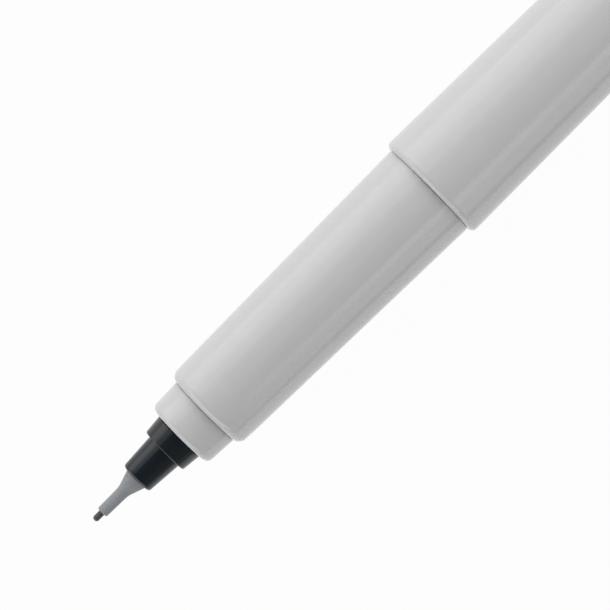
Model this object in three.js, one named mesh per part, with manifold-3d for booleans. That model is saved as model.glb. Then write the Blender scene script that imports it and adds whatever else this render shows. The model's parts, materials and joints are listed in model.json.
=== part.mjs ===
// Fine-point permanent marker, ready to write, with its cap pushed onto the rear end.
// Millimetres, +Z up. The marker lies on its side along X with its point towards -X. It rests on
// the lip of its barrel, on the mouth of its cap and on one edge of the bridge of its pocket clip.

import * as THREE from 'three';
import { mergeVertices } from 'three/addons/utils/BufferGeometryUtils.js';
import Module from 'manifold-3d';

const wasm = await Module();
wasm.setup();

// Nib: a thin plastic rod that draws the ink forward out of the reservoir
const nibDiameter = 0.62;
const nibExposed = 0.98;
const nibReach = 7;

// Nib sleeve: a thin tube that flares into the nib holder
const sleeveMouthDiameter = 1.11;
const sleeveWaistDiameter = 1.21;
const sleeveRootDiameter = 2.32;
const sleeveExposed = 4.41;
const sleeveFlareLength = 1.64;
const sleeveFlareBlend = 0.3;
const sleeveTailLength = 3.2;
const sleeveMouthRound = 0.17;

// Nib holder: a nose, a wider collar against the neck, and a plug inside the neck
const holderNoseFrontDiameter = 3.28;
const holderNoseRearDiameter = 3.76;
const holderNoseLength = 3.69;
const holderCollarFrontDiameter = 4.82;
const holderCollarRearDiameter = 5.17;
const holderCollarLength = 1.86;
const holderEdgeRound = 0.29;
const holderPlugLength = 6.4;
const ventCount = 3;
const ventWidth = 0.5;
const ventDepth = 0.35;

// Barrel: neck, grip and body in one moulding, with the ink chamber inside
const neckFrontDiameter = 7.15;
const neckRearDiameter = 7.44;
const neckLength = 3.37;
const neckEdgeRound = 0.42;
const neckBoreDiameter = 4.4;
const gripFrontDiameter = 8.78;
const gripLeadDiameter = 9;
const gripLeadLength = 2;
const gripLeadBlend = 1.2;
const gripLength = 28.71;
const gripEdgeRound = 0.85;
const gripFrontWall = 1.6;
const lipDiameter = 11.2;
const lipEdgeRound = 0.56;
const bodyLength = 79.4;
const chamberFrontDiameter = 7;
const chamberRearDiameter = 7.5;
const ribCount = 4;
const ribWidth = 0.8;
const ribRoot = 0.3;
const ribShortfall = 4;

// Ink reservoir: a fibre core in a thin wrap
const reservoirDiameter = 6.4;
const reservoirLength = 88;
const wrapThickness = 0.09;

// Rear plug: closes the barrel behind the reservoir
const plugHeadLength = 1.6;
const plugEdgeRound = 0.5;
const plugSpigotWall = 1;

// Cap: level with the lip at its mouth, a little narrower at its crown
const capLength = 56;
const capMouthWall = 0.56;
const capMouthRound = 0.18;
const capCrownDiameter = 10.2;
const capCrownWall = 1.6;
const capCrownRound = 0.7;

// Cap seal: a cup inside the cap that closes round the neck when the marker is capped
const sealEndBoreDiameter = 6.7;
const sealTipRoom = 1.8;
const sealEndWall = 1;
const sealEndRound = 0.8;
const sealMouthRound = 0.2;

// Pocket clip: a bridge on the cap and a springy tongue
const clipHeight = 7.6;
const clipThickness = 1.15;
const clipRootWidth = 4.6;
const clipTipWidth = 3.4;
const clipLength = 37;
const clipPadLength = 3;
const clipPadOffset = 1;
const clipPadGap = 0.35;
const bridgeLength = 4.6;
const bridgeSlope = 1.7;
const bridgeSetback = 0.7;

// Clearances
const pressGap = 0.03;
const seatGap = 0.06;
const endGap = 0.3;
const capGap = 0.05;
const clipGap = 0.1;

// Fineness of the surfaces
const bodySides = 48;
const holderSides = 32;
const nibSides = 24;
const roundSteps = 3;
const roundShare = 0.45;

// Stations along the axis, counted back from the point of the nib
const sleeveStart = nibExposed;
const holderStart = sleeveStart + sleeveExposed;
const collarStart = holderStart + holderNoseLength;
const neckStart = collarStart + holderCollarLength;
const gripStart = neckStart + neckLength;
const chamberStart = gripStart + gripFrontWall;
const lipStart = gripStart + gripLength;
const plugStart = lipStart + bodyLength;
const plugEnd = plugStart + plugHeadLength;
const holderEnd = Math.max(neckStart + holderPlugLength, chamberStart);
const reservoirStart = holderEnd + endGap;
const reservoirEnd = reservoirStart + reservoirLength;
const nibEnd = reservoirStart + nibReach;

// The cap goes as far onto the rear end as it goes onto the grip, up to the mouth of its seal
const capStart = plugEnd - gripLength;
const capEnd = capStart + capLength;
const sealStart = plugEnd + endGap;
const sealBoreEnd = sealStart + gripStart + sealTipRoom;
const sealEnd = sealBoreEnd + sealEndWall;
const clipJoint = capEnd - bridgeLength;
const clipTip = clipJoint - clipGap - clipLength;

// Radii that the cap and the barrel share: the same bore slides over the grip and over the body
const lipRadius = lipDiameter / 2;
const capMouthBore = lipRadius - capMouthWall;
const gripRearRadius = capMouthBore - capGap;
const bodyTaper = (lipRadius - gripRearRadius) / (capStart - lipStart);
const bodyRearRadius = lipRadius - bodyTaper * (plugStart - lipStart);
const plugRearRadius = lipRadius - bodyTaper * (plugEnd - lipStart);

function bodyBoreAt(x) {
  const share = (x - chamberStart) / (plugStart - chamberStart);
  return THREE.MathUtils.lerp(chamberFrontDiameter, chamberRearDiameter, share) / 2;
}

function capBoreAt(x) {
  return capMouthBore - bodyTaper * (x - capStart);
}

function capSurfaceAt(x) {
  return THREE.MathUtils.lerp(lipDiameter, capCrownDiameter, (x - capStart) / capLength) / 2;
}

// The marker rolls until the edge of the clip's bridge meets the table. This is the angle of the
// clip from straight down, and how far the clip then stands out to the side of the axis.
const edgeReach = Math.hypot(clipHeight, clipRootWidth / 2);
const edgeAngle = Math.atan2(clipRootWidth / 2, clipHeight);
const clipRoll = edgeAngle + Math.acos(lipRadius / edgeReach);
const clipReach = clipHeight * Math.sin(clipRoll) + (clipRootWidth / 2) * Math.cos(clipRoll);

// Moves from one corner towards another by the round's length, and never past the edge's share
function alongEdge(corner, other, round) {
  const length = Math.min(round, roundShare * corner.distanceTo(other));
  return corner.clone().add(other.clone().sub(corner).setLength(length));
}

// Each corner of a profile is [x, radius] or, where its edge is rounded, [x, radius, round]
function profilePoints(corners) {
  const spots = corners.map(([x, radius]) => new THREE.Vector2(radius, x));
  const path = new THREE.Path();
  path.moveTo(spots[0].x, spots[0].y);
  for (let i = 1; i < spots.length; i += 1) {
    const round = corners[i][2];
    if (round === undefined) {
      path.lineTo(spots[i].x, spots[i].y);
    } else {
      const before = alongEdge(spots[i], spots[i - 1], round);
      const after = alongEdge(spots[i], spots[i + 1], round);
      path.lineTo(before.x, before.y);
      path.quadraticCurveTo(spots[i].x, spots[i].y, after.x, after.y);
    }
  }
  return path.getPoints(roundSteps);
}

// Turns a profile round the marker's axis, which is X
function turned(corners, sides) {
  const geometry = new THREE.LatheGeometry(profilePoints(corners), sides);
  geometry.rotateZ(-Math.PI / 2);
  return geometry;
}

// Gives a closed geometry to the boolean library, without the flat triangles at its poles
function solidOf(geometry) {
  geometry.deleteAttribute('normal');
  geometry.deleteAttribute('uv');
  const merged = mergeVertices(geometry);
  const corners = merged.index.array;
  const kept = [];
  for (let i = 0; i < corners.length; i += 3) {
    const [a, b, c] = corners.slice(i, i + 3);
    if (a !== b && b !== c && c !== a) {
      kept.push(a, b, c);
    }
  }
  return new wasm.Manifold(new wasm.Mesh({
    numProp: 3,
    vertProperties: merged.attributes.position.array,
    triVerts: Uint32Array.from(kept),
  }));
}

function geometryOf(solid) {
  const mesh = solid.getMesh();
  const geometry = new THREE.BufferGeometry();
  geometry.setAttribute('position', new THREE.BufferAttribute(mesh.vertProperties, 3));
  geometry.setIndex(new THREE.BufferAttribute(mesh.triVerts, 1));
  geometry.computeVertexNormals();
  return geometry;
}

// A bar along the axis, from one radius to a larger one, turned to its angle round the axis
function axialBar(start, end, inner, outer, width, angle) {
  const bar = new THREE.BoxGeometry(end - start, width, outer - inner);
  bar.translate((start + end) / 2, 0, (inner + outer) / 2);
  bar.rotateX(angle);
  return solidOf(bar);
}

// An outline of [x, height] spots, made as wide as given and set at the clip's angle
function clipSlab(spots, width) {
  const shape = new THREE.Shape(spots.map(([x, height]) => new THREE.Vector2(x, height)));
  const slab = new THREE.ExtrudeGeometry(shape, { depth: width, bevelEnabled: false });
  slab.translate(0, 0, -width / 2);
  slab.rotateX(Math.PI / 2);
  slab.rotateX(Math.PI - clipRoll);
  return solidOf(slab);
}

function makeNib() {
  const radius = nibDiameter / 2;
  return turned([
    [0, 0],
    [0, radius, radius],
    [nibEnd, radius],
    [nibEnd, 0],
  ], nibSides);
}

function makeNibSleeve() {
  const bore = nibDiameter / 2 + pressGap;
  const root = sleeveRootDiameter / 2;
  const tailEnd = holderStart + sleeveTailLength;
  return turned([
    [sleeveStart, bore],
    [sleeveStart, sleeveMouthDiameter / 2, sleeveMouthRound],
    [holderStart - sleeveFlareLength, sleeveWaistDiameter / 2, sleeveFlareBlend],
    [holderStart, root],
    [tailEnd, root],
    [tailEnd, bore],
    [sleeveStart, bore],
  ], holderSides);
}

// The plug's grooves let air past to replace the ink that is drawn out
function makeNibHolder() {
  const tailBore = sleeveRootDiameter / 2 + pressGap;
  const nibBore = nibDiameter / 2 + pressGap;
  const tailSeat = holderStart + sleeveTailLength + seatGap;
  const plug = neckBoreDiameter / 2 - pressGap;
  const body = turned([
    [holderStart, tailBore],
    [holderStart, holderNoseFrontDiameter / 2, holderEdgeRound],
    [collarStart, holderNoseRearDiameter / 2],
    [collarStart, holderCollarFrontDiameter / 2, holderEdgeRound],
    [neckStart - seatGap, holderCollarRearDiameter / 2],
    [neckStart - seatGap, plug],
    [holderEnd, plug, holderEdgeRound],
    [holderEnd, nibBore],
    [tailSeat, nibBore],
    [tailSeat, tailBore],
    [holderStart, tailBore],
  ], holderSides);
  let holder = solidOf(body);
  for (let i = 0; i < ventCount; i += 1) {
    const angle = (2 * Math.PI * i) / ventCount;
    const outer = plug + ventDepth;
    holder = holder.subtract(
      axialBar(neckStart, holderEnd + endGap, plug - ventDepth, outer, ventWidth, angle),
    );
  }
  return geometryOf(holder);
}

// The ribs hold the reservoir off the wall, so that air passes beside it
function makeBarrel() {
  const neckBore = neckBoreDiameter / 2;
  const shell = turned([
    [neckStart, neckBore],
    [neckStart, neckFrontDiameter / 2, neckEdgeRound],
    [gripStart, neckRearDiameter / 2],
    [gripStart, gripFrontDiameter / 2, gripEdgeRound],
    [gripStart + gripLeadLength, gripLeadDiameter / 2, gripLeadBlend],
    [lipStart, gripRearRadius],
    [lipStart, lipRadius, lipEdgeRound],
    [plugStart - pressGap, bodyRearRadius],
    [plugStart - pressGap, bodyBoreAt(plugStart)],
    [chamberStart, bodyBoreAt(chamberStart)],
    [chamberStart, neckBore],
    [neckStart, neckBore],
  ], bodySides);
  const ribInner = reservoirDiameter / 2 + pressGap + wrapThickness + seatGap;
  const ribEnd = reservoirEnd - ribShortfall;
  let barrel = solidOf(shell);
  for (let i = 0; i < ribCount; i += 1) {
    const angle = (2 * Math.PI * i) / ribCount;
    const ribOuter = bodyBoreAt(ribEnd) + ribRoot;
    barrel = barrel.add(
      axialBar(chamberStart - ribRoot, ribEnd, ribInner, ribOuter, ribWidth, angle),
    );
  }
  return geometryOf(barrel);
}

function makeInkReservoir() {
  const radius = reservoirDiameter / 2;
  const pocket = nibDiameter / 2 + seatGap;
  const pocketEnd = nibEnd + endGap;
  return turned([
    [pocketEnd, 0],
    [pocketEnd, pocket],
    [reservoirStart, pocket],
    [reservoirStart, radius],
    [reservoirEnd, radius],
    [reservoirEnd, 0],
  ], holderSides);
}

function makeReservoirWrap() {
  const inner = reservoirDiameter / 2 + pressGap;
  const outer = inner + wrapThickness;
  return turned([
    [reservoirStart, inner],
    [reservoirStart, outer],
    [reservoirEnd, outer],
    [reservoirEnd, inner],
    [reservoirStart, inner],
  ], holderSides);
}

// The hollow spigot reaches forward to the reservoir and keeps it on the nib
function makeRearPlug() {
  const spigotStart = reservoirEnd + endGap;
  const front = bodyBoreAt(spigotStart) - seatGap;
  const rear = bodyBoreAt(plugStart) - seatGap;
  return turned([
    [plugStart, 0],
    [plugStart, rear - plugSpigotWall],
    [spigotStart, front - plugSpigotWall],
    [spigotStart, front],
    [plugStart, rear],
    [plugStart, bodyRearRadius],
    [plugEnd, plugRearRadius, plugEdgeRound],
    [plugEnd, 0],
  ], bodySides);
}

function makeCapShell() {
  const outside = turned([
    [capStart, 0],
    [capStart, lipRadius, capMouthRound],
    [capEnd, capCrownDiameter / 2, capCrownRound],
    [capEnd, 0],
  ], bodySides);
  const boreEnd = capEnd - capCrownWall;
  const bore = turned([
    [capStart - capLength, 0],
    [capStart - capLength, capBoreAt(capStart - capLength)],
    [boreEnd, capBoreAt(boreEnd)],
    [boreEnd, 0],
  ], bodySides);
  const bridgeEnd = capEnd - bridgeSetback;
  const bridge = clipSlab([
    [clipJoint, capBoreAt(capStart) / 2],
    [bridgeEnd, capBoreAt(capStart) / 2],
    [bridgeEnd, capSurfaceAt(bridgeEnd)],
    [bridgeEnd - bridgeSlope, clipHeight],
    [clipJoint, clipHeight],
  ], clipRootWidth);
  return geometryOf(solidOf(outside).add(bridge).subtract(solidOf(bore)));
}

function makeCapSeal() {
  const neckBore = neckRearDiameter / 2 + seatGap;
  const endBore = sealEndBoreDiameter / 2;
  return turned([
    [sealBoreEnd, 0],
    [sealBoreEnd, endBore, sealEndRound],
    [sealStart, neckBore],
    [sealStart, capBoreAt(sealStart) - pressGap, sealMouthRound],
    [sealEnd, capBoreAt(sealEnd) - pressGap, sealEndRound],
    [sealEnd, 0],
  ], bodySides);
}

// The tongue is its side view, with the pad under its tip, cut to its tapering width
function makePocketClip() {
  const root = clipJoint - clipGap;
  const underside = clipHeight - clipThickness;
  const padStart = clipTip + clipPadOffset;
  const padHeight = capSurfaceAt(clipTip) + clipPadGap;
  const side = clipSlab([
    [root, underside],
    [root, clipHeight],
    [clipTip, clipHeight],
    [clipTip, underside],
    [padStart, padHeight],
    [padStart + clipPadLength / 2, padHeight],
    [padStart + clipPadLength, underside],
  ], clipRootWidth);
  const tipRadius = clipTipWidth / 2;
  const plan = new THREE.Shape();
  plan.moveTo(root, clipRootWidth / 2);
  plan.lineTo(clipTip + tipRadius, tipRadius);
  plan.absarc(clipTip + tipRadius, 0, tipRadius, Math.PI / 2, (3 * Math.PI) / 2, false);
  plan.lineTo(root, -clipRootWidth / 2);
  const cutter = new THREE.ExtrudeGeometry(plan, {
    depth: clipHeight,
    bevelEnabled: false,
    curveSegments: roundSteps * 2,
  });
  cutter.translate(0, 0, clipHeight / 2);
  cutter.rotateX(Math.PI - clipRoll);
  return geometryOf(side.intersect(solidOf(cutter)));
}

const greyPlastic = { color: 0xc4c4c3, roughness: 0.45, metalness: 0 };
const blackPlastic = { color: 0x1b2123, roughness: 0.35, metalness: 0 };
const sleevePlastic = { color: 0x8a8d90, roughness: 0.5, metalness: 0 };
const nibPlastic = { color: 0x3b3c3d, roughness: 0.6, metalness: 0 };
const inkedFibre = { color: 0x232226, roughness: 0.9, metalness: 0 };
const clearFilm = { color: 0xd8dadc, roughness: 0.25, metalness: 0 };
const paleSeal = { color: 0xe4e4e0, roughness: 0.5, metalness: 0 };

function subPart(name, geometry, finish) {
  const mesh = new THREE.Mesh(geometry, new THREE.MeshStandardMaterial(finish));
  mesh.name = name;
  return mesh;
}

const marker = new THREE.Group();
marker.add(
  subPart('nib', makeNib(), nibPlastic),
  subPart('nib_sleeve', makeNibSleeve(), sleevePlastic),
  subPart('nib_holder', makeNibHolder(), blackPlastic),
  subPart('barrel', makeBarrel(), greyPlastic),
  subPart('ink_reservoir', makeInkReservoir(), inkedFibre),
  subPart('reservoir_wrap', makeReservoirWrap(), clearFilm),
  subPart('rear_plug', makeRearPlug(), blackPlastic),
  subPart('cap_shell', makeCapShell(), blackPlastic),
  subPart('cap_seal', makeCapSeal(), paleSeal),
  subPart('pocket_clip', makePocketClip(), blackPlastic),
);
marker.position.set(-capEnd / 2, (clipReach - lipRadius) / 2, lipRadius);

export default marker;
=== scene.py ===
# %% [markdown]
# # A fine-point permanent marker
# The marker lies on a pale table, ready to write, with its cap pushed onto the rear end. The
# frame that is loaded here holds each part at its true size and place, in metres, with the
# marker's axis along X. Every piece below is turned or shaped around that axis with finer
# edges than the frame has, and gets the finish of the plastic or fibre that it is made of.

# %% Load the frame
import json
import math

import bmesh
import bpy
from mathutils import Matrix, Vector


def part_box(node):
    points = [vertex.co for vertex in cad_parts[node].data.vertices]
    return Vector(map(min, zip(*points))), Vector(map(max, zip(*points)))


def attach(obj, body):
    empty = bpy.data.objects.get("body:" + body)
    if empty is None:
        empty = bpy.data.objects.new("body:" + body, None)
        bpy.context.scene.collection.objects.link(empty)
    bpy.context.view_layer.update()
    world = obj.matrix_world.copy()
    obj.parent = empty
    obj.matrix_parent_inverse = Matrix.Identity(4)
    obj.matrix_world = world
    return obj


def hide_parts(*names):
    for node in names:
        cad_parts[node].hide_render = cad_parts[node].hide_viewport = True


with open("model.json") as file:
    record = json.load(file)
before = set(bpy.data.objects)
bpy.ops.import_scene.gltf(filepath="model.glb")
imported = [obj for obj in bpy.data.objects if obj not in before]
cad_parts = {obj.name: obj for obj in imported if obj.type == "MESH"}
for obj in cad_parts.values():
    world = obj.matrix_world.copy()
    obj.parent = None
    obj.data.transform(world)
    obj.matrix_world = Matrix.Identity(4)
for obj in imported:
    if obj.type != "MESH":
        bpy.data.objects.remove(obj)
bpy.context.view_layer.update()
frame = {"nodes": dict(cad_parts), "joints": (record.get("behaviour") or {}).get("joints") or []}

# %% [markdown]
# ## Where the axis is
# All the turned parts share one axis. The box of the barrel gives its height and its side
# place, and the box of the nib gives the point of the marker. Distances are then counted in
# millimetres, back from the point along the axis and outwards from it, as on a drawing.

# %% The axis and its stations
MM = 0.001
barrel_low, barrel_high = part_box("barrel")
AXIS_Y = (barrel_low.y + barrel_high.y) / 2
AXIS_Z = (barrel_low.z + barrel_high.z) / 2
POINT_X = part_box("nib")[0].x


def stations(node):
    """Where a part of the frame starts and ends along the axis, in millimetres."""
    low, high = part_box(node)
    return (low.x - POINT_X) / MM, (high.x - POINT_X) / MM


def radius_of(node):
    """Half the height of a turned part of the frame, in millimetres."""
    low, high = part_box(node)
    return (high.z - low.z) / 2 / MM


print("axis at y %.2f mm, z %.2f mm" % (AXIS_Y / MM, AXIS_Z / MM))

# %% [markdown]
# ## Turning a part
# A lathe part could be an edited cylinder, but a drawn half outline is closer to how its mould
# is cut. The outline is a wire of corner points. Bevel rounds the corners that the mould
# rounds, a ring held close to each round keeps the flat stretches flat in the shading, and
# spin carries the wire once round the axis.

# %% Helpers for turned parts
TURN_STEPS = 192
FINE_STEPS = 96
ROUND_SEGMENTS = 7
HOLD = 0.03 * MM
LONG_STRETCH = 4 * HOLD
WELD = 0.0001 * MM
EDGE_ANGLE = math.radians(35)


def hold_flat_stretches(bm):
    """Puts a ring close to both ends of every long stretch of the outline."""
    for edge in [e for e in bm.edges if e.calc_length() > LONG_STRETCH]:
        first, last = edge.verts
        _, near = bmesh.utils.edge_split(edge, first, HOLD / edge.calc_length())
        rest = next(e for e in near.link_edges if first not in e.verts)
        bmesh.utils.edge_split(rest, last, HOLD / rest.calc_length())


def finish_piece(bm, name, material):
    """Makes the finished object, with its place in its mesh and its hard edges kept."""
    mesh = bpy.data.meshes.new(name)
    bm.to_mesh(mesh)
    bm.free()
    mesh.shade_smooth()
    mesh.set_sharp_from_angle(angle=EDGE_ANGLE)
    mesh.materials.append(material)
    piece = bpy.data.objects.new(name, mesh)
    bpy.context.scene.collection.objects.link(piece)
    print("made %s: %d faces" % (name, len(mesh.polygons)))
    return piece


def turned(name, material, corners, steps=TURN_STEPS):
    """Spins an outline of (station, radius) or (station, radius, round) corners, in mm."""
    bm = bmesh.new()
    wire = []
    for corner in corners:
        place = (POINT_X + corner[0] * MM, AXIS_Y, AXIS_Z + corner[1] * MM)
        wire.append(bm.verts.new(place))
    for start, end in zip(wire, wire[1:]):
        bm.edges.new((start, end))
    if corners[0][1] > 0:
        bm.edges.new((wire[-1], wire[0]))
    for vert, corner in zip(wire, corners):
        if len(corner) == 3:
            bmesh.ops.bevel(bm, geom=[vert], offset=corner[2] * MM, offset_type="OFFSET",
                            affect="VERTICES", segments=ROUND_SEGMENTS, profile=0.5,
                            material=-1, clamp_overlap=True)
    hold_flat_stretches(bm)
    bmesh.ops.spin(bm, geom=bm.verts[:] + bm.edges[:], cent=(POINT_X, AXIS_Y, AXIS_Z),
                   axis=(1, 0, 0), dvec=(0, 0, 0), angle=2 * math.pi, steps=steps,
                   use_merge=True, use_normal_flip=False, use_duplicate=False)
    bmesh.ops.remove_doubles(bm, verts=bm.verts[:], dist=WELD)
    bmesh.ops.recalc_face_normals(bm, faces=bm.faces[:])
    return finish_piece(bm, name, material)


# %% [markdown]
# ## Colours and nodes
# Colours are written as the hex values that a colour picker shows, and one function turns them
# into the linear values that a shader works with. Another function adds a node, sets what it
# is told and links what it is given. The rest are short names for the few nodes that every
# plastic here needs: noise of a given size, the same noise drawn out along the marker, a change
# of range, two tones mixed, and a bump of a given depth.

# %% Helpers for materials
# The Mix node has sockets for numbers, vectors and colours: these are the colour ones
MIX_FIRST, MIX_SECOND, MIX_RESULT = 6, 7, 2


def linear(hex_colour):
    """An sRGB hex colour as linear red, green, blue and alpha, by the sRGB standard."""
    channels = [int(hex_colour[i:i + 2], 16) / 255 for i in (1, 3, 5)]
    straight = [c / 12.92 if c <= 0.04045 else ((c + 0.055) / 1.055) ** 2.4 for c in channels]
    return (*straight, 1)


def add_node(tree, kind, inputs=None, **settings):
    """Adds a node. Inputs are values, or the sockets that are linked into it."""
    node = tree.nodes.new(kind)
    for name, value in settings.items():
        setattr(node, name, value)
    for name, value in (inputs or {}).items():
        if isinstance(value, bpy.types.NodeSocket):
            tree.links.new(value, node.inputs[name])
        else:
            node.inputs[name].default_value = value
    return node


def new_material(name):
    """An empty material, its node tree, and the place on the marker measured from its axis."""
    material = bpy.data.materials.new(name)
    material.use_nodes = True
    tree = material.node_tree
    tree.nodes.clear()
    coordinates = add_node(tree, "ShaderNodeTexCoord")
    centred = add_node(tree, "ShaderNodeMapping", {
        "Vector": coordinates.outputs["Object"],
        "Location": (0, -AXIS_Y, -AXIS_Z),
    })
    return material, tree, centred.outputs["Vector"]


def noise(tree, place, size_mm, detail, roughness=0.5):
    """Noise from 0 to 1 with spots of about the given size."""
    spots = add_node(tree, "ShaderNodeTexNoise", {
        "Vector": place,
        "Scale": 1 / (size_mm * MM),
        "Detail": detail,
        "Roughness": roughness,
    })
    return spots.outputs["Fac"]


def drawn_out(tree, place, times):
    """The place with its X shortened, so that a noise gets that many times longer."""
    mapping = add_node(tree, "ShaderNodeMapping", {
        "Vector": place,
        "Scale": (1 / times, 1, 1),
    })
    return mapping.outputs["Vector"]


def remap(tree, value, source, target=(0, 1)):
    """A value moved from one (low, high) range to another."""
    change = add_node(tree, "ShaderNodeMapRange", {
        "Value": value,
        "From Min": source[0],
        "From Max": source[1],
        "To Min": target[0],
        "To Max": target[1],
    })
    return change.outputs[0]


def two_tones(tree, factor, dark, pale):
    """A colour between two hex colours."""
    mix = add_node(tree, "ShaderNodeMix", {
        "Factor": factor,
        MIX_FIRST: linear(dark),
        MIX_SECOND: linear(pale),
    }, data_type="RGBA")
    return mix.outputs[MIX_RESULT]


def pressed(tree, height, depth_mm, strength, **normal):
    """A bump of a given depth, on top of the normal if one is given."""
    bump = add_node(tree, "ShaderNodeBump", {
        "Height": height,
        "Strength": strength,
        "Distance": depth_mm * MM,
        **normal,
    })
    return bump.outputs[0]


def close_material(tree, shader):
    """Sends the finished shader to the material's output."""
    add_node(tree, "ShaderNodeOutputMaterial", {"Surface": shader.outputs[0]})


# %% [markdown]
# ## Moulded plastic
# The barrel, holder, cap and plug are polypropylene from a polished mould. Such a skin is
# nearly smooth: it has a very shallow waviness where the melt shrank, a fine grain too small to
# feel, and faint flow marks along the length. So the colour drifts a little along the marks,
# the grain lifts the roughness in specks, and waves and grain press a shallow bump into the
# gloss. In the pale grades a little light also enters the skin and comes out again.

# %% Polypropylene
PP_IOR = 1.49
GRAIN_MM = 0.12
GRAIN_DEPTH = 0.001
WAVE_MM = 1.6
WAVE_DEPTH = 0.0012
STREAK_MM = 0.5
STREAK_LENGTH = 24
DRIFT_RANGE = (0.12, 0.42)
SPECK_RANGE = (0.3, 0.7)
GLOW_DEPTH = 0.4


def moulded_polypropylene(name, dark, pale, roughness, rough_spread, glow):
    """Polypropylene from a polished mould: two near tones, a fine grain and a soft gloss."""
    material, tree, place = new_material(name)
    along = drawn_out(tree, place, STREAK_LENGTH)
    streaks = noise(tree, along, STREAK_MM, detail=3.0, roughness=0.55)
    waves = noise(tree, place, WAVE_MM, detail=2.0)
    grain = noise(tree, place, GRAIN_MM, detail=2.0, roughness=0.6)
    drift = add_node(tree, "ShaderNodeMath", {0: streaks, 1: waves}, operation="MULTIPLY")
    tone = remap(tree, drift.outputs[0], DRIFT_RANGE)
    colour = two_tones(tree, tone, dark, pale)
    gloss = remap(tree, grain, SPECK_RANGE,
                  (roughness - rough_spread, roughness + rough_spread))
    waviness = pressed(tree, waves, WAVE_DEPTH, strength=0.2)
    fine = pressed(tree, grain, GRAIN_DEPTH, strength=0.25, Normal=waviness)
    shader = add_node(tree, "ShaderNodeBsdfPrincipled", {
        "Base Color": colour,
        "Roughness": gloss,
        "IOR": PP_IOR,
        "Subsurface Weight": glow,
        "Subsurface Radius": (1, 1, 1),
        "Subsurface Scale": GLOW_DEPTH * MM,
        "Normal": fine,
    })
    close_material(tree, shader)
    return material


# Pale grey filled polypropylene: opaque, with a soft gloss from a polished mould
grey_plastic = moulded_polypropylene(
    "moulded_grey_polypropylene", "#C7C7C7", "#C9C9C9",
    roughness=0.16, rough_spread=0.02, glow=0.04)
# Black polypropylene: a deep cool black that mirrors the light as one soft band
black_plastic = moulded_polypropylene(
    "moulded_black_polypropylene", "#08121A", "#0C181E",
    roughness=0.24, rough_spread=0.04, glow=0.0)
# Soft natural polyethylene of the seal: milky, duller, and it lets a little light in
seal_plastic = moulded_polypropylene(
    "moulded_natural_polyethylene", "#DEDEDA", "#E6E6E2",
    roughness=0.42, rough_spread=0.06, glow=0.4)

# %% [markdown]
# ## Drawn acetal
# The sleeve and the nib are acetal that was drawn through a die, not moulded. Drawing leaves
# very fine lines along the length and a matt, even skin. The sleeve is a neutral mid grey. The
# nib carries ink in fine channels, so its lines are dark and there are paler ridges between.

# %% Acetal
ACETAL_IOR = 1.48
ACETAL_SPREAD = 0.04
DRAW_LENGTH = 40
LINE_RANGE = (0.35, 0.65)


def drawn_acetal(name, dark, pale, line_mm, roughness, depth_mm):
    """Acetal drawn through a die, with fine lines along it."""
    material, tree, place = new_material(name)
    lines = noise(tree, drawn_out(tree, place, DRAW_LENGTH), line_mm, detail=2.0)
    specks = noise(tree, place, line_mm, detail=3.0)
    tone = remap(tree, lines, LINE_RANGE)
    colour = two_tones(tree, tone, dark, pale)
    gloss = remap(tree, specks, SPECK_RANGE,
                  (roughness - ACETAL_SPREAD, roughness + ACETAL_SPREAD))
    grooves = pressed(tree, lines, depth_mm, strength=0.5)
    shader = add_node(tree, "ShaderNodeBsdfPrincipled", {
        "Base Color": colour,
        "Roughness": gloss,
        "IOR": ACETAL_IOR,
        "Normal": grooves,
    })
    close_material(tree, shader)
    return material


# Grey drawn acetal: matt and even, with hardly any band of light along it
sleeve_plastic = drawn_acetal(
    "drawn_grey_acetal", "#8A8D90", "#919497", line_mm=0.1, roughness=0.6, depth_mm=0.0005)
# Acetal rod full of ink: dark channels with paler ridges between them, a little glossier
nib_plastic = drawn_acetal(
    "inked_acetal_rod", "#34363A", "#58595C", line_mm=0.12, roughness=0.45, depth_mm=0.003)

# %% [markdown]
# ## Fibre and film
# The reservoir is a bundle of polyester fibres, bonded side by side and soaked with black ink.
# The film round it is clear polypropylene. Both are hidden in the barrel, but the finish is the
# real one: dark threads along the length with a damp sheen, and a thin clear skin.

# %% Fibre and film
FIBRE_MM = 0.15
FIBRE_LENGTH = 60
FIBRE_DEPTH = 0.03
WRINKLE_MM = 0.8
WRINKLE_LENGTH = 5
WRINKLE_DEPTH = 0.02


def soaked_fibre():
    """Polyester fibres along the length, black with ink and slightly damp."""
    material, tree, place = new_material("ink_soaked_polyester_fibre")
    threads = noise(tree, drawn_out(tree, place, FIBRE_LENGTH), FIBRE_MM, detail=4.0)
    colour = two_tones(tree, threads, "#0C0C10", "#2C2C33")
    ridges = pressed(tree, threads, FIBRE_DEPTH, strength=0.9)
    shader = add_node(tree, "ShaderNodeBsdfPrincipled", {
        "Base Color": colour,
        "Roughness": 0.6,
        "IOR": 1.5,
        "Sheen Weight": 0.2,
        "Normal": ridges,
    })
    close_material(tree, shader)
    return material


def clear_film():
    """Thin clear polypropylene film with slight wrinkles along it."""
    material, tree, place = new_material("clear_polypropylene_film")
    wrinkles = noise(tree, drawn_out(tree, place, WRINKLE_LENGTH), WRINKLE_MM, detail=2.0)
    folds = pressed(tree, wrinkles, WRINKLE_DEPTH, strength=0.4)
    colour = two_tones(tree, wrinkles, "#E9EBEC", "#F4F5F6")
    shader = add_node(tree, "ShaderNodeBsdfPrincipled", {
        "Base Color": colour,
        "Roughness": 0.12,
        "IOR": PP_IOR,
        "Transmission Weight": 0.9,
        "Normal": folds,
    })
    close_material(tree, shader)
    return material


fibre = soaked_fibre()
film = clear_film()


def dress(node, material):
    """Gives a part of the frame that keeps its own shape its finish."""
    mesh = frame["nodes"][node].data
    mesh.materials.clear()
    mesh.materials.append(material)
    print("dressed", node, "with", material.name)


dress("ink_reservoir", fibre)
dress("reservoir_wrap", film)

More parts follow.
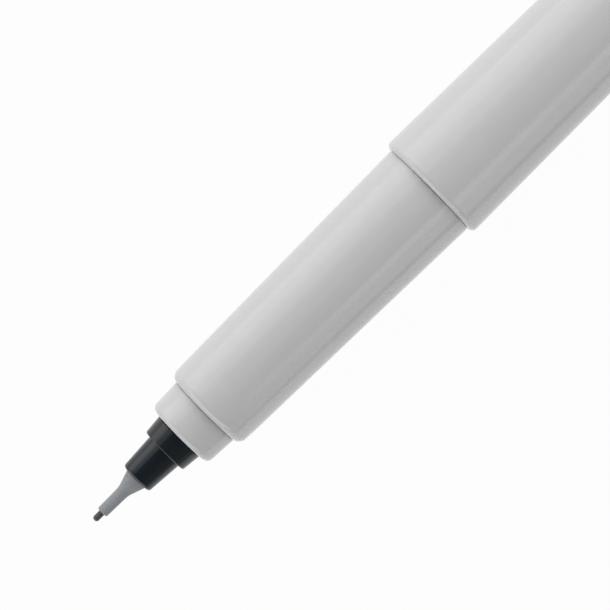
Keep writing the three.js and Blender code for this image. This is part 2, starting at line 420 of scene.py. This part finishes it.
# %% [markdown]
# ## Nib
# The writing point is the bare end of a thin acetal rod, ground to a half round. The rod goes
# on through the sleeve and the holder into the ink. A turned outline gives the true round end.

# %% Nib
nib_start, nib_end = stations("nib")
nib_radius = radius_of("nib")
NIB_ROUND_SHARE = 0.9
BARE_EDGE = 0.05
nib = turned("nib_rod", nib_plastic, [
    (nib_start, 0),
    (nib_start, nib_radius, NIB_ROUND_SHARE * nib_radius),
    (nib_end, nib_radius, BARE_EDGE),
    (nib_end, 0),
], FINE_STEPS)
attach(nib, "marker_body")
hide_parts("nib")

# %% [markdown]
# ## Nib sleeve
# The grey sleeve steadies the nib. It is a thin tube with a softly rounded mouth, almost
# straight for its first half, and then it flares into the face of the holder. Its tail is
# straight again and hidden. The flare is one bent corner of the outline with a long round.

# %% Nib sleeve
sleeve_start, sleeve_end = stations("nib_sleeve")
holder_start, holder_end = stations("nib_holder")
SLEEVE_MOUTH = 0.555
SLEEVE_WAIST = 0.605
FLARE_LENGTH = 1.64
FLARE_ROUND = 0.3
MOUTH_ROUND = 0.17
ROOT_ROUND = 0.1
BORE_ROUND = 0.04
PRESS_GAP = 0.03
sleeve_root = radius_of("nib_sleeve")
nib_bore = nib_radius + PRESS_GAP
sleeve = turned("nib_sleeve_tube", sleeve_plastic, [
    (sleeve_start, nib_bore, BORE_ROUND),
    (sleeve_start, SLEEVE_MOUTH, MOUTH_ROUND),
    (holder_start - FLARE_LENGTH, SLEEVE_WAIST, FLARE_ROUND),
    (holder_start, sleeve_root, ROOT_ROUND),
    (sleeve_end, sleeve_root, ROOT_ROUND),
    (sleeve_end, nib_bore),
], FINE_STEPS)
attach(sleeve, "marker_body")
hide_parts("nib_sleeve")

# %% [markdown]
# ## Nib holder
# The black holder has a slim nose and a wider collar, both with a slight taper that lets the
# moulding leave its tool, and small rounds on the front edges. Behind the collar is the plug
# that presses into the neck. All of it is round, so one outline turns it, bore included.

# %% Nib holder
neck_start, barrel_end = stations("barrel")
NOSE_FRONT = 1.64
NOSE_REAR = 1.88
NOSE_LENGTH = 3.64
COLLAR_FRONT = 2.41
HOLDER_ROUND = 0.29
COLLAR_ROUND = 0.12
COLLAR_REAR_ROUND = 0.03
NECK_BORE = 2.2
SEAT_GAP = 0.06
collar_rear = radius_of("nib_holder")
plug_radius = NECK_BORE - PRESS_GAP
collar_start = holder_start + NOSE_LENGTH
collar_end = neck_start - SEAT_GAP
tail_bore = sleeve_root + PRESS_GAP
tail_seat = sleeve_end + SEAT_GAP
holder = turned("nib_holder_body", black_plastic, [
    (holder_start, tail_bore, BORE_ROUND),
    (holder_start, NOSE_FRONT, HOLDER_ROUND),
    (collar_start, NOSE_REAR, BARE_EDGE),
    (collar_start, COLLAR_FRONT, COLLAR_ROUND),
    (collar_end, collar_rear, COLLAR_REAR_ROUND),
    (collar_end, plug_radius, BARE_EDGE),
    (holder_end, plug_radius, HOLDER_ROUND),
    (holder_end, nib_bore, BARE_EDGE),
    (tail_seat, nib_bore),
    (tail_seat, tail_bore),
])

# %% [markdown]
# ## Vents in the holder
# Air has to come in where ink goes out, so the plug of the holder has grooves along it. They
# end in its open rear face. A groove like that could be drawn into the mesh, but a bar that is
# taken away with a boolean modifier gives clean walls and leaves the turned outline simple.

# %% Vents
VENT_COUNT = 3
VENT_WIDTH = 0.5
VENT_DEPTH = 0.35
VENT_OVERRUN = 1


def axial_bars(bm, start, end, inner, outer, width, count):
    """Bars along the axis, spread evenly round it, from one radius to another."""
    middle = Matrix.Translation((POINT_X + (start + end) / 2 * MM, AXIS_Y, AXIS_Z))
    size = Matrix.Diagonal(((end - start) * MM, width * MM, (outer - inner) * MM, 1))
    lift = Matrix.Translation((0, 0, (inner + outer) / 2 * MM))
    for i in range(count):
        turn = Matrix.Rotation(2 * math.pi * i / count, 4, "X")
        bmesh.ops.create_cube(bm, size=1, matrix=middle @ turn @ lift @ size)


def apply_modifiers(piece):
    """Keeps the mesh that the modifiers give, and removes them."""
    depsgraph = bpy.context.evaluated_depsgraph_get()
    finished = bpy.data.meshes.new_from_object(piece.evaluated_get(depsgraph))
    piece.modifiers.clear()
    piece.data = finished


vent_bars = bmesh.new()
axial_bars(vent_bars, neck_start, holder_end + VENT_OVERRUN, plug_radius - VENT_DEPTH,
           plug_radius + VENT_DEPTH, VENT_WIDTH, VENT_COUNT)
vents = finish_piece(vent_bars, "vent_cutter", black_plastic)
cut = holder.modifiers.new("vents", "BOOLEAN")
cut.operation = "DIFFERENCE"
cut.object = vents
cut.solver = "EXACT"
apply_modifiers(holder)
bpy.data.objects.remove(vents)
print("holder with its vents:", len(holder.data.polygons), "faces")
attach(holder, "marker_body")
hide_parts("nib_holder")

# %% [markdown]
# ## Barrel
# One grey moulding carries the whole marker: the short neck, the grip that widens from a round
# nose, the lip, and the body that narrows to the rear so that the cap slides on. The outline
# runs along the outside and comes back through the ink chamber. The photograph shows a thin dark
# line at the foot of the nose and of the lip. A fine relief, as a turner leaves in a corner so
# that another edge can seat there, draws that line here. Its true cause can't be seen.

# %% Barrel
NECK_FRONT = 3.575
NECK_REAR = 3.72
NECK_LENGTH = 3.33
NECK_ROUND = 0.55
NECK_LEAN = 0.09
NECK_BORE_ROUND = 0.1
GRIP_FRONT = 4.43
GRIP_LEAD = 4.5
GRIP_LEAD_LENGTH = 2
GRIP_LEAD_ROUND = 0.6
GRIP_LENGTH = 28.75
GRIP_ROUND = 0.75
GRIP_WALL = 1.6
RELIEF_WIDTH = 0.12
RELIEF_DEPTH = 0.09
LIP_RADIUS = 5.6
LIP_ROUND = 0.58
CAP_MOUTH_BORE = 5.04
CAP_GAP = 0.05
CHAMBER_FRONT = 3.5
CHAMBER_REAR = 3.75
CHAMBER_ROUND = 0.2
JOINT_ROUND = 0.08
grip_start = neck_start + NECK_LENGTH
lip_start = grip_start + GRIP_LENGTH
chamber_start = grip_start + GRIP_WALL
cap_start, cap_end = stations("cap_shell")
grip_rear = CAP_MOUTH_BORE - CAP_GAP
body_taper = (LIP_RADIUS - grip_rear) / (cap_start - lip_start)

# The nose of the grip is rounder than its step is deep, so its round is drawn over a chamfer.
# The chamfer halves the right angle, and each of its two corners turns by a half of that.
nose_round = GRIP_ROUND * math.tan(math.radians(90 / 4))
nose_cut = GRIP_ROUND - nose_round


def body_radius(x):
    """The outside of the body behind the lip."""
    return LIP_RADIUS - body_taper * (x - lip_start)


def chamber_radius(x):
    """The inside of the ink chamber."""
    share = (x - chamber_start) / (barrel_end - chamber_start)
    return CHAMBER_FRONT + (CHAMBER_REAR - CHAMBER_FRONT) * share


barrel = turned("barrel_tube", grey_plastic, [
    (neck_start, NECK_BORE, NECK_BORE_ROUND),
    (neck_start + NECK_LEAN, NECK_FRONT, NECK_ROUND),
    (grip_start - RELIEF_WIDTH, NECK_REAR),
    (grip_start - RELIEF_WIDTH, NECK_REAR - RELIEF_DEPTH),
    (grip_start, NECK_REAR - RELIEF_DEPTH),
    (grip_start, GRIP_FRONT - nose_cut, nose_round / 2),
    (grip_start + nose_cut, GRIP_FRONT, nose_round),
    (grip_start + GRIP_LEAD_LENGTH, GRIP_LEAD, GRIP_LEAD_ROUND),
    (lip_start - RELIEF_WIDTH, grip_rear),
    (lip_start - RELIEF_WIDTH, grip_rear - RELIEF_DEPTH),
    (lip_start, grip_rear - RELIEF_DEPTH),
    (lip_start, LIP_RADIUS, LIP_ROUND),
    (barrel_end, body_radius(barrel_end), JOINT_ROUND),
    (barrel_end, CHAMBER_REAR, JOINT_ROUND),
    (chamber_start, CHAMBER_FRONT, CHAMBER_ROUND),
    (chamber_start, NECK_BORE),
])
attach(barrel, "marker_body")
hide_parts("barrel")

# %% [markdown]
# ## Ribs of the ink chamber
# Four ribs hold the reservoir off the wall, so that air can pass along it. They are part of the
# barrel's moulding. Nobody sees where they meet the wall, so they are plain bars that are sunk
# into it, with their edges rounded, and not a second cut into the turned tube.

# %% Ribs
RIB_COUNT = 4
RIB_WIDTH = 0.8
RIB_SHORTFALL = 4
RIB_SINK = 0.3
RIB_ROUND = 0.08
RIB_SEGMENTS = 2


def bevel_edges(bm, edges, offset, segments):
    """Rounds the given edges."""
    bmesh.ops.bevel(bm, geom=edges, offset=offset, offset_type="OFFSET", affect="EDGES",
                    segments=segments, profile=0.5, material=-1, clamp_overlap=True)


wrap_radius = radius_of("reservoir_wrap")
rib_end = stations("ink_reservoir")[1] - RIB_SHORTFALL
rib_bars = bmesh.new()
axial_bars(rib_bars, chamber_start - RIB_SINK, rib_end, wrap_radius + SEAT_GAP,
           chamber_radius(rib_end) + RIB_SINK, RIB_WIDTH, RIB_COUNT)
bevel_edges(rib_bars, rib_bars.edges[:], RIB_ROUND * MM, RIB_SEGMENTS)
ribs = finish_piece(rib_bars, "barrel_ribs", grey_plastic)
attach(ribs, "marker_body")

# %% [markdown]
# ## Rear plug
# The barrel is moulded open at the rear, and a black plug closes it. Its head is level with the
# body, with a rounded edge, and its hollow spigot reaches forward to the reservoir.

# %% Rear plug
spigot_start, plug_end = stations("rear_plug")
SPIGOT_WALL = 1
SPIGOT_FLOOR_ROUND = 0.2
SPIGOT_BORE_ROUND = 0.1
SPIGOT_LEAD_ROUND = 0.15
SPIGOT_FOOT_ROUND = 0.02
PLUG_ROUND = 0.5
DIMPLE_RADIUS = 1.1
DIMPLE_ROUND = 0.12
DIMPLE_DEPTH = 0.25
DIMPLE_FLOOR_SHARE = 0.7
DIMPLE_FLOOR_ROUND = 0.2
head_start = barrel_end + PRESS_GAP
spigot_front = chamber_radius(spigot_start) - SEAT_GAP
spigot_rear = CHAMBER_REAR - SEAT_GAP
rear_plug = turned("rear_plug_body", black_plastic, [
    (head_start, 0),
    (head_start, spigot_rear - SPIGOT_WALL, SPIGOT_FLOOR_ROUND),
    (spigot_start, spigot_front - SPIGOT_WALL, SPIGOT_BORE_ROUND),
    (spigot_start, spigot_front, SPIGOT_LEAD_ROUND),
    (head_start, spigot_rear, SPIGOT_FOOT_ROUND),
    (head_start, body_radius(head_start), JOINT_ROUND),
    (plug_end, body_radius(plug_end), PLUG_ROUND),
    (plug_end, DIMPLE_RADIUS, DIMPLE_ROUND),
    (plug_end - DIMPLE_DEPTH, DIMPLE_RADIUS * DIMPLE_FLOOR_SHARE, DIMPLE_FLOOR_ROUND),
    (plug_end - DIMPLE_DEPTH, 0),
])
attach(rear_plug, "marker_body")
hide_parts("rear_plug")

# %% [markdown]
# ## Cap
# The cap is a thin drafted shell with a closed crown. Its mouth is level with the lip of the
# barrel, so the marker lies flat on both. It is turned like the barrel, inside and outside in
# one outline, and its bore has the draft of the body that it is pushed onto.

# %% Cap shell
CAP_CROWN_RADIUS = 5.1
CAP_CROWN_WALL = 1.6
CAP_CROWN_ROUND = 0.7
CAP_MOUTH_ROUND = 0.18
CAP_BORE_ROUND = 0.1
CAP_FLOOR_ROUND = 0.4


def cap_bore(x):
    """The inside of the cap, which has the same draft as the body."""
    return CAP_MOUTH_BORE - body_taper * (x - cap_start)


def cap_outside(x):
    """The outside of the cap, from its mouth to its crown."""
    share = (x - cap_start) / (cap_end - cap_start)
    return LIP_RADIUS + (CAP_CROWN_RADIUS - LIP_RADIUS) * share


bore_end = cap_end - CAP_CROWN_WALL
cap = turned("cap_body", black_plastic, [
    (bore_end, 0),
    (bore_end, cap_bore(bore_end), CAP_FLOOR_ROUND),
    (cap_start, CAP_MOUTH_BORE, CAP_BORE_ROUND),
    (cap_start, LIP_RADIUS, CAP_MOUTH_ROUND),
    (cap_end, CAP_CROWN_RADIUS, CAP_CROWN_ROUND),
    (cap_end, 0),
])
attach(cap, "cap")
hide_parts("cap_shell")

# %% [markdown]
# ## Seal in the cap
# Ink dries in air, so a softer cup inside the cap closes round the neck when the marker is put
# away. It is a piece of its own, of natural polyethylene, and is turned as a cup with a lip.

# %% Cap seal
SEAL_END_BORE = 3.35
SEAL_END_WALL = 1
SEAL_END_ROUND = 0.8
SEAL_BORE_ROUND = 0.1
SEAL_LEAD_ROUND = 0.2
seal_start, seal_end = stations("cap_seal")
seal_bore_end = seal_end - SEAL_END_WALL
seal = turned("cap_seal_cup", seal_plastic, [
    (seal_bore_end, 0),
    (seal_bore_end, SEAL_END_BORE, SEAL_END_ROUND),
    (seal_start, NECK_REAR + SEAT_GAP, SEAL_BORE_ROUND),
    (seal_start, cap_bore(seal_start) - PRESS_GAP, SEAL_LEAD_ROUND),
    (seal_end, cap_bore(seal_end) - PRESS_GAP, SEAL_END_ROUND),
    (seal_end, 0),
])
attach(seal, "cap")
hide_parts("cap_seal")

# %% [markdown]
# ## Clip
# The clip is a tongue that narrows to a round tip and springs from the bridge. It is shaped
# lying flat above the axis, where its length, width and height are simple, and then turned to
# its place low on the side of the cap. The joint of the clip in the frame gives that angle.

# %% Where the clip stands
clip_joint = next(j for j in frame["joints"] if j["name"] == "clip_flex")
clip_roll = math.atan2(clip_joint["axis"][2], -clip_joint["axis"][1])
clip_tip, clip_root = stations("pocket_clip")
to_clip = (Matrix.Translation((POINT_X, AXIS_Y, AXIS_Z))
           @ Matrix.Rotation(math.pi - clip_roll, 4, "X") @ Matrix.Scale(MM, 4))
print("the clip is turned %.1f degrees from the top" % math.degrees(math.pi - clip_roll))

# %% Helpers for the clip and its bridge
CLIP_EDGE_ROUND = 0.22
CLIP_EDGE_SEGMENTS = 4
CORNER_ANGLE = math.radians(12)


def round_corners(bm):
    """Rounds every edge that isn't between two nearly level faces."""
    corners = [e for e in bm.edges if e.calc_face_angle(0) > CORNER_ANGLE]
    bevel_edges(bm, corners, CLIP_EDGE_ROUND, CLIP_EDGE_SEGMENTS)


def side_outline(bm, spots, width):
    """A face through (station, height) spots, extruded to a width across the clip."""
    verts = [bm.verts.new((x, -width / 2, height)) for x, height in spots]
    face = bm.faces.new(verts)
    grown = bmesh.ops.extrude_face_region(bm, geom=[face])
    moved = [g for g in grown["geom"] if isinstance(g, bmesh.types.BMVert)]
    bmesh.ops.translate(bm, verts=moved, vec=(0, width, 0))
    bmesh.ops.recalc_face_normals(bm, faces=bm.faces[:])


# %% [markdown]
# ## Tongue of the clip
# The tongue is drawn from the side as one outline, with the pad under its tip that grips the
# pocket. It is made as wide as its root all along and then pulled in towards the tip, vertex by
# vertex, because one line of code gives an even taper. The tip's two corners are rounded first
# and all other edges after them.

# %% Clip tongue
CLIP_HEIGHT = 7.6
CLIP_THICKNESS = 1.15
CLIP_ROOT_WIDTH = 4.6
CLIP_TIP_WIDTH = 3.4
CLIP_TIP_ROUND = 1.3
CLIP_TIP_SEGMENTS = 8
CLIP_PAD_LENGTH = 3
CLIP_PAD_OFFSET = 1
CLIP_PAD_GAP = 0.35
SAME_SPOT = 0.001
underside = CLIP_HEIGHT - CLIP_THICKNESS
pad_start = clip_tip + CLIP_PAD_OFFSET
pad_height = cap_outside(clip_tip) + CLIP_PAD_GAP
tongue = bmesh.new()
side_outline(tongue, [
    (clip_root, underside),
    (clip_root, CLIP_HEIGHT),
    (clip_tip, CLIP_HEIGHT),
    (clip_tip, underside),
    (pad_start, pad_height),
    (pad_start + CLIP_PAD_LENGTH / 2, pad_height),
    (pad_start + CLIP_PAD_LENGTH, underside),
], CLIP_ROOT_WIDTH)
for vert in tongue.verts:
    share = (clip_root - vert.co.x) / (clip_root - clip_tip)
    width = CLIP_ROOT_WIDTH + (CLIP_TIP_WIDTH - CLIP_ROOT_WIDTH) * share
    vert.co.y = math.copysign(width / 2, vert.co.y)
tip_corners = []
for edge in tongue.edges:
    first, last = edge.verts
    at_tip = all(abs(vert.co.x - clip_tip) < SAME_SPOT for vert in edge.verts)
    if at_tip and first.co.y * last.co.y > 0:
        tip_corners.append(edge)
bevel_edges(tongue, tip_corners, CLIP_TIP_ROUND, CLIP_TIP_SEGMENTS)
round_corners(tongue)
bmesh.ops.transform(tongue, matrix=to_clip, verts=tongue.verts[:])
clip = finish_piece(tongue, "pocket_clip_tongue", black_plastic)
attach(clip, "clip")
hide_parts("pocket_clip")

# %% [markdown]
# ## Bridge of the clip
# A short block near the crown joins the clip to the cap. On the real cap block, tongue and
# shell are one moulding. Here the tongue can bend, so the block is a piece that stays with the
# cap, sunk into its wall, and a hair's breadth of air lies between it and the tongue.

# %% Clip bridge
CLIP_GAP = 0.1
BRIDGE_SETBACK = 0.7
BRIDGE_SLOPE = 1.7
BRIDGE_WALL = 0.1
bridge_start = clip_root + CLIP_GAP
bridge_end = cap_end - BRIDGE_SETBACK
bridge_foot = cap_bore(bridge_end) + BRIDGE_WALL
bridge_bm = bmesh.new()
side_outline(bridge_bm, [
    (bridge_start, bridge_foot),
    (bridge_end, bridge_foot),
    (bridge_end, cap_outside(bridge_end)),
    (bridge_end - BRIDGE_SLOPE, CLIP_HEIGHT),
    (bridge_start, CLIP_HEIGHT),
], CLIP_ROOT_WIDTH)
round_corners(bridge_bm)
bmesh.ops.transform(bridge_bm, matrix=to_clip, verts=bridge_bm.verts[:])
bridge = finish_piece(bridge_bm, "clip_bridge", black_plastic)
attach(bridge, "cap")

# %% [markdown]
# ## What the camera aims at
# The photograph is taken from above with a long lens, nearly square to the marker, with the
# point at the lower left. Where the axis starts in the picture, its angle and the scale were
# read off the photograph. They give the spot of the marker that lies in the middle of it.

# %% Aim of the camera
PICTURE_PX = 610
PX_PER_MM = 10.94
AXIS_START_PX = (97.25, 517.25)
AXIS_ANGLE = math.radians(44.64)
POINT_BEFORE_START_PX = 4.3
right_px = PICTURE_PX / 2 - AXIS_START_PX[0]
up_px = AXIS_START_PX[1] - PICTURE_PX / 2
along_px = right_px * math.cos(AXIS_ANGLE) + up_px * math.sin(AXIS_ANGLE)
across_px = up_px * math.cos(AXIS_ANGLE) - right_px * math.sin(AXIS_ANGLE)
target = Vector((
    POINT_X + (along_px + POINT_BEFORE_START_PX) / PX_PER_MM * MM,
    AXIS_Y + across_px / PX_PER_MM * MM,
    AXIS_Z,
))
print("the camera aims %.1f mm behind the point" % ((target.x - POINT_X) / MM))

# %% [markdown]
# ## Camera
# The camera is placed by its three directions: right and up in the picture, and back from the
# marker to the lens. They turn the axis to the photograph's angle and tip the point down a
# little. The lens then follows from how wide the picture is at that distance.

# %% Camera
CAMERA_DISTANCE = 0.32
POINT_TILT = math.radians(0.45)
SENSOR_MM = 36
NEAREST = 0.01
FARTHEST = 50
field = PICTURE_PX / PX_PER_MM * MM
to_camera = Vector((math.sin(POINT_TILT), 0, math.cos(POINT_TILT)))
axis_level = Vector((math.cos(POINT_TILT), 0, -math.sin(POINT_TILT)))
side_level = Vector((0, 1, 0))
picture_right = axis_level * math.cos(AXIS_ANGLE) - side_level * math.sin(AXIS_ANGLE)
picture_up = axis_level * math.sin(AXIS_ANGLE) + side_level * math.cos(AXIS_ANGLE)
camera_data = bpy.data.cameras.new("camera")
camera_data.sensor_width = SENSOR_MM
camera_data.lens = SENSOR_MM * CAMERA_DISTANCE / field
camera_data.clip_start = NEAREST
camera_data.clip_end = FARTHEST
camera = bpy.data.objects.new("camera", camera_data)
turn = Matrix((picture_right, picture_up, to_camera)).transposed().to_4x4()
camera.matrix_world = Matrix.Translation(target + to_camera * CAMERA_DISTANCE) @ turn
bpy.context.scene.collection.objects.link(camera)
bpy.context.scene.camera = camera
print("lens %.0f mm, field %.1f mm" % (camera_data.lens, field / MM))

# %% [markdown]
# ## Table and backdrop
# The table is a plain white sheet. Seen directly, or mirrored in the plastic, most of its white
# is its own, so that the picture has a clean ground, and the rest is lit, so that the marker
# still throws its soft shadow. A low white wall all round closes the picture in side views.

# %% Table and backdrop
TABLE_RADIUS = 5
WALL_HEIGHT = 0.3
TABLE_SEGMENTS = 64
TABLE_OWN_SHARE = 0.97
WALL_OWN_SHARE = 1.0
CARD = "#C0C0C0"


def studio_white(name, own_share):
    """White card: a share of its white is its own, the rest comes from the lamps."""
    material = bpy.data.materials.new(name)
    material.use_nodes = True
    tree = material.node_tree
    tree.nodes.clear()
    path = add_node(tree, "ShaderNodeLightPath")
    seen = add_node(tree, "ShaderNodeMath", {
        0: path.outputs["Is Camera Ray"],
        1: path.outputs["Is Glossy Ray"],
    }, operation="MAXIMUM")
    shown = add_node(tree, "ShaderNodeMath", {
        0: seen.outputs[0],
        1: path.outputs["Is Transmission Ray"],
    }, operation="MAXIMUM")
    share = add_node(tree, "ShaderNodeMath", {
        0: shown.outputs[0],
        1: own_share,
    }, operation="MULTIPLY")
    lit = add_node(tree, "ShaderNodeBsdfDiffuse", {"Color": linear(CARD)})
    own = add_node(tree, "ShaderNodeEmission", {"Color": (1, 1, 1, 1), "Strength": 1.0})
    mixed = add_node(tree, "ShaderNodeMixShader", {
        0: share.outputs[0],
        1: lit.outputs[0],
        2: own.outputs[0],
    })
    close_material(tree, mixed)
    return material


table_bm = bmesh.new()
bmesh.ops.create_circle(table_bm, cap_ends=True, radius=TABLE_RADIUS,
                        segments=TABLE_SEGMENTS)
table = finish_piece(table_bm, "table", studio_white("white_table", TABLE_OWN_SHARE))

wall_bm = bmesh.new()
bmesh.ops.create_cone(wall_bm, cap_ends=False, radius1=TABLE_RADIUS, radius2=TABLE_RADIUS,
                      depth=WALL_HEIGHT, segments=TABLE_SEGMENTS,
                      matrix=Matrix.Translation((0, 0, WALL_HEIGHT / 2)))
wall = finish_piece(wall_bm, "wall", studio_white("white_wall", WALL_OWN_SHARE))

# %% [markdown]
# ## Light
# A round bar mirrors each lamp as a band along it, so a lamp is given here by the place, the
# size and the brightness of its face. The key lamp stands low towards the top left of the
# picture and gives the bright side of the barrel, and the high lamp carries that light on
# towards the top. The lamps off the two ends aren't mirrored in the sides at all: the rear one
# draws the soft shadows in front of the steps, and the front one lights their rounds. Two
# narrow panels on the lower right lift the shadow side without reaching the black holder. The
# upper one is brighter, and its top edge is the faint line that runs along the barrel there.
# Both are aimed like the lamps and then moved back along the marker.

# %% Light
def soft_lamp(name, place, size, brightness):
    """A soft lamp whose face looks at the marker. Brightness 1 is the picture's white."""
    data = bpy.data.lights.new(name, "AREA")
    data.shape = "RECTANGLE"
    data.size = size[0]
    data.size_y = size[1]
    data.energy = brightness * math.pi * size[0] * size[1]
    lamp = bpy.data.objects.new(name, data)
    face = Vector(place).normalized()
    across = Vector((0, 0, 1)).cross(face).normalized()
    turn = Matrix((across, face.cross(across), face)).transposed().to_4x4()
    lamp.matrix_world = Matrix.Translation(place) @ turn
    bpy.context.scene.collection.objects.link(lamp)
    return lamp


PANEL_SHIFT = 0.1
LAMPS = [
    # name, place, width and height of the face, its brightness, move along the marker
    ("key_lamp", (0.3, 0.94, 0.36), (1.8, 0.74), 1.75, 0),
    ("high_lamp", (0.2, 0.58, 0.8), (1.2, 0.42), 0.95, 0),
    ("front_lamp", (-1.2, 0, 0.3), (4.2, 0.55), 2.7, 0),
    ("rear_lamp", (1.05, 0, 0.6), (3.0, 0.7), 2.2, 0),
    ("upper_panel", (0, -0.81, 0.585), (0.44, 0.26), 1.4, PANEL_SHIFT),
    ("lower_panel", (0, -0.964, 0.267), (0.44, 0.44), 0.8, PANEL_SHIFT),
]
for name, place, size, brightness, move in LAMPS:
    lamp = soft_lamp(name, place, size, brightness)
    lamp.location.x += move
    print("lamp %s: brightness %.2f" % (name, brightness))

# %% [markdown]
# ## The edge of the white card
# In the photograph a thin dark line runs along the lower right of the barrel. It is probably a
# dark table, mirrored beyond the edge of the white card that the marker lies on. A sheet of
# black felt stands in for it, and only what is mirrored in the marker shows it. It lies just
# outside the picture, and its edge decides where the line runs.

# %% Dark table
EDGE_MM = 41
SHEET = 1.2
SHEET_LIFT = 0.5
# Black felt: it gives back hardly any light, so its mirror image is an even dark line
black_felt, felt_tree, _ = new_material("black_felt")
close_material(felt_tree, add_node(felt_tree, "ShaderNodeBsdfDiffuse", {
    "Color": linear("#101010"),
}))
middle_y = AXIS_Y - EDGE_MM * MM - SHEET / 2
sheet_bm = bmesh.new()
bmesh.ops.create_grid(sheet_bm, x_segments=1, y_segments=1, size=SHEET / 2,
                      matrix=Matrix.Translation((0, middle_y, SHEET_LIFT * MM)))
sheet = finish_piece(sheet_bm, "dark_table", black_felt)
sheet.visible_camera = False
sheet.visible_diffuse = False
sheet.visible_transmission = False
sheet.visible_shadow = False

# %% [markdown]
# ## Sky
# A room sends some light from everywhere. A faint even white in the world gives that, so that
# no side of the marker falls to black. It is kept weak, because it also flattens the shadows.

# %% Sky
SKY = 0.18
world = bpy.data.worlds.new("studio")
world.use_nodes = True
bpy.context.scene.world = world
background = world.node_tree.nodes["Background"]
background.inputs["Color"].default_value = (1, 1, 1, 1)
background.inputs["Strength"].default_value = SKY
print("sky strength", SKY)

# %% [markdown]
# ## View
# The plain Standard view is set, because it leaves a white card white and the hex colours what
# they are.

# %% View
bpy.context.scene.view_settings.view_transform = "Standard"
